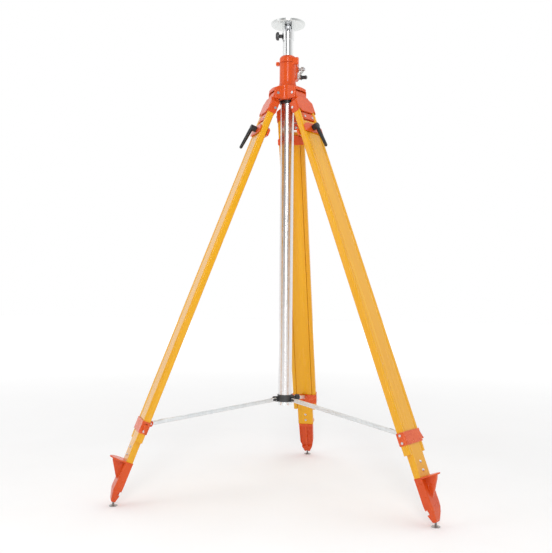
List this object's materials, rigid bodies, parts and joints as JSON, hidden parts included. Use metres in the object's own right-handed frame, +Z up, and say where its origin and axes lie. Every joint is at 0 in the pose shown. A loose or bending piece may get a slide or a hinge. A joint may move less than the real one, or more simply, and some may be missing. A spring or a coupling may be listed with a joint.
{
  "type": "elevating instrument tripod",
  "caption": "Elevating tripod with a geared crank column, sliding wooden legs with lever clamps, ball-jointed pads, a sliding spreader and a round instrument plate.",
  "frame": {"origin": "on the column's axis, in the plane of the three foot pads' undersides", "axes": "+Z up along the column, +Y towards the rear leg, the two front legs 60 degrees either side of -Y, the crank on +X"},
  "size_m": [1.1224, 0.9844, 1.771],
  "materials": {
    "orange_casting": "gloss",
    "yellow_leg": "gloss",
    "tube_aluminium": "satin",
    "strut_aluminium": "satin",
    "turned_plate": "satin",
    "steel": "satin",
    "bronze": "satin",
    "black_plastic": "satin"
  },
  "bodies": {
    "frame": {"head_casting": "orange_casting", "hinge_pins": "steel", "tube_collar": "black_plastic", "outer_tube": "tube_aluminium", "tube_end_cap": "tube_aluminium", "gear_housing": "orange_casting", "guide_bush": "black_plastic", "pinion_bushes": "bronze", "housing_screws": "steel", "top_cap": "orange_casting"},
    "clamp_ring": {"clamp_ring": "orange_casting"},
    "column": {"inner_column": "tube_aluminium", "column_rack": "steel", "column_shoe": "black_plastic"},
    "head": {"head_yoke": "tube_aluminium", "head_plate": "turned_plate"},
    "fixing_screw": {"fixing_screw": "steel"},
    "head_knob": {"head_knob": "black_plastic"},
    "crank": {"pinion_shaft": "steel", "crank_arm": "steel", "crank_screw": "steel"},
    "crank_grip": {"crank_grip": "black_plastic"},
    "hub": {"spreader_hub": "black_plastic"},
    "hub_knob": {"hub_knob": "black_plastic"},
    "leg_left": {"leg_bracket_left": "orange_casting", "leg_rails_left": "yellow_leg", "rail_spacer_left": "orange_casting", "leg_screws_left": "steel", "leg_band_left": "orange_casting"},
    "lower_left": {"leg_plank_left": "yellow_leg", "clamp_plates_left": "orange_casting", "foot_casting_left": "orange_casting", "foot_bolts_left": "steel"},
    "lever_left": {"clamp_lever_left": "black_plastic"},
    "pad_left": {"foot_pad_left": "steel"},
    "strut_left": {"strut_left": "strut_aluminium"},
    "leg_right": {"leg_bracket_right": "orange_casting", "leg_rails_right": "yellow_leg", "rail_spacer_right": "orange_casting", "leg_screws_right": "steel", "leg_band_right": "orange_casting"},
    "lower_right": {"leg_plank_right": "yellow_leg", "clamp_plates_right": "orange_casting", "foot_casting_right": "orange_casting", "foot_bolts_right": "steel"},
    "lever_right": {"clamp_lever_right": "black_plastic"},
    "pad_right": {"foot_pad_right": "steel"},
    "strut_right": {"strut_right": "strut_aluminium"},
    "leg_rear": {"leg_bracket_rear": "orange_casting", "leg_rails_rear": "yellow_leg", "rail_spacer_rear": "orange_casting", "leg_screws_rear": "steel", "leg_band_rear": "orange_casting"},
    "lower_rear": {"leg_plank_rear": "yellow_leg", "clamp_plates_rear": "orange_casting", "foot_casting_rear": "orange_casting", "foot_bolts_rear": "steel"},
    "lever_rear": {"clamp_lever_rear": "black_plastic"},
    "pad_rear": {"foot_pad_rear": "steel"},
    "strut_rear": {"strut_rear": "strut_aluminium"}
  },
  "joints": [
    {"name": "clamp_ring_turn", "type": "hinge", "parent": "frame", "child": "clamp_ring", "pos_m": [0, 0, 1.6047], "axis": [0, 0, 1], "range_deg": [0, 40]},
    {"name": "column_lift", "type": "slide", "parent": "frame", "child": "column", "axis": [0, 0, 1], "range_m": [-0.05, 0.88]},
    {"name": "head_swivel", "type": "hinge", "parent": "column", "child": "head", "pos_m": [0, 0, 1.7], "axis": [0, 0, 1], "continuous": true},
    {"name": "fixing_screw_turn", "type": "hinge", "parent": "head", "child": "fixing_screw", "pos_m": [0, 0, 1.74], "axis": [0, 0, 1], "continuous": true},
    {"name": "head_knob_turn", "type": "hinge", "parent": "head", "child": "head_knob", "pos_m": [-0.02265, -0.00399, 1.709], "axis": [-0.9848, -0.1736, 0], "range_deg": [0, 720]},
    {"name": "crank_turn", "type": "hinge", "parent": "frame", "child": "crank", "pos_m": [0, 0.02862, 1.59], "axis": [1, 0, 0], "range_deg": [-4804, 274]},
    {"name": "crank_grip_spin", "type": "hinge", "parent": "crank", "child": "crank_grip", "pos_m": [0.0445, 0.02862, 1.559], "axis": [1, 0, 0], "continuous": true},
    {"name": "spreader_slide", "type": "slide", "parent": "frame", "child": "hub", "axis": [0, 0, 1], "range_m": [0, 0.1365]},
    {"name": "hub_knob_turn", "type": "hinge", "parent": "hub", "child": "hub_knob", "pos_m": [0.03204, 0.0185, 0.347], "axis": [0.866, 0.5, 0], "range_deg": [0, 720]},
    {"name": "leg_fold_left", "type": "hinge", "parent": "frame", "child": "leg_left", "pos_m": [-0.0433, -0.025, 1.482], "axis": [0.5, -0.866, 0], "range_deg": [0, 2]},
    {"name": "leg_extend_left", "type": "slide", "parent": "leg_left", "child": "lower_left", "axis": [-0.3205, -0.185, -0.929], "range_m": [0, 1]},
    {"name": "leg_clamp_left", "type": "hinge", "parent": "lower_left", "child": "lever_left", "pos_m": [-0.10794, -0.06232, 1.34597], "axis": [-0.8045, -0.4645, 0.3701], "range_deg": [0, 180]},
    {"name": "foot_tilt_left", "type": "hinge", "parent": "lower_left", "child": "pad_left", "pos_m": [-0.54516, -0.31475, 0.02], "axis": [0.5, -0.866, 0], "range_deg": [-12, 12]},
    {"name": "strut_swing_left", "type": "hinge", "parent": "leg_left", "child": "strut_left", "pos_m": [-0.43727, -0.25246, 0.27732], "axis": [0.5, -0.866, 0], "range_deg": [0, 17.36]},
    {"name": "leg_fold_right", "type": "hinge", "parent": "frame", "child": "leg_right", "pos_m": [0.0433, -0.025, 1.482], "axis": [0.5, 0.866, 0], "range_deg": [0, 2]},
    {"name": "leg_extend_right", "type": "slide", "parent": "leg_right", "child": "lower_right", "axis": [0.3205, -0.185, -0.929], "range_m": [0, 1]},
    {"name": "leg_clamp_right", "type": "hinge", "parent": "lower_right", "child": "lever_right", "pos_m": [0.10794, -0.06232, 1.34597], "axis": [0.8045, -0.4645, 0.3701], "range_deg": [0, 180]},
    {"name": "foot_tilt_right", "type": "hinge", "parent": "lower_right", "child": "pad_right", "pos_m": [0.54516, -0.31475, 0.02], "axis": [0.5, 0.866, 0], "range_deg": [-12, 12]},
    {"name": "strut_swing_right", "type": "hinge", "parent": "leg_right", "child": "strut_right", "pos_m": [0.43727, -0.25246, 0.27732], "axis": [0.5, 0.866, 0], "range_deg": [0, 17.36]},
    {"name": "leg_fold_rear", "type": "hinge", "parent": "frame", "child": "leg_rear", "pos_m": [0, 0.05, 1.482], "axis": [-1, 0, 0], "range_deg": [0, 2]},
    {"name": "leg_extend_rear", "type": "slide", "parent": "leg_rear", "child": "lower_rear", "axis": [0, 0.3701, -0.929], "range_m": [0, 1]},
    {"name": "leg_clamp_rear", "type": "hinge", "parent": "lower_rear", "child": "lever_rear", "pos_m": [0, 0.12464, 1.34597], "axis": [0, 0.929, 0.3701], "range_deg": [0, 180]},
    {"name": "foot_tilt_rear", "type": "hinge", "parent": "lower_rear", "child": "pad_rear", "pos_m": [0, 0.6295, 0.02], "axis": [-1, 0, 0], "range_deg": [-12, 12]},
    {"name": "strut_swing_rear", "type": "hinge", "parent": "leg_rear", "child": "strut_rear", "pos_m": [0, 0.50491, 0.27732], "axis": [-1, 0, 0], "range_deg": [0, 17.36]}
  ],
  "couplings": [
    {"joint": "crank_turn", "follows": "column_lift", "rad_per_m": -95.238},
    {"joint": "spreader_slide", "follows": "leg_fold_right", "m_per_rad": 3.9},
    {"joint": "leg_fold_left", "follows": "leg_fold_right", "ratio": 1},
    {"joint": "strut_swing_left", "follows": "leg_fold_right", "ratio": 8.656},
    {"joint": "strut_swing_right", "follows": "leg_fold_right", "ratio": 8.656},
    {"joint": "leg_fold_rear", "follows": "leg_fold_right", "ratio": 1},
    {"joint": "strut_swing_rear", "follows": "leg_fold_right", "ratio": 8.656}
  ]
}
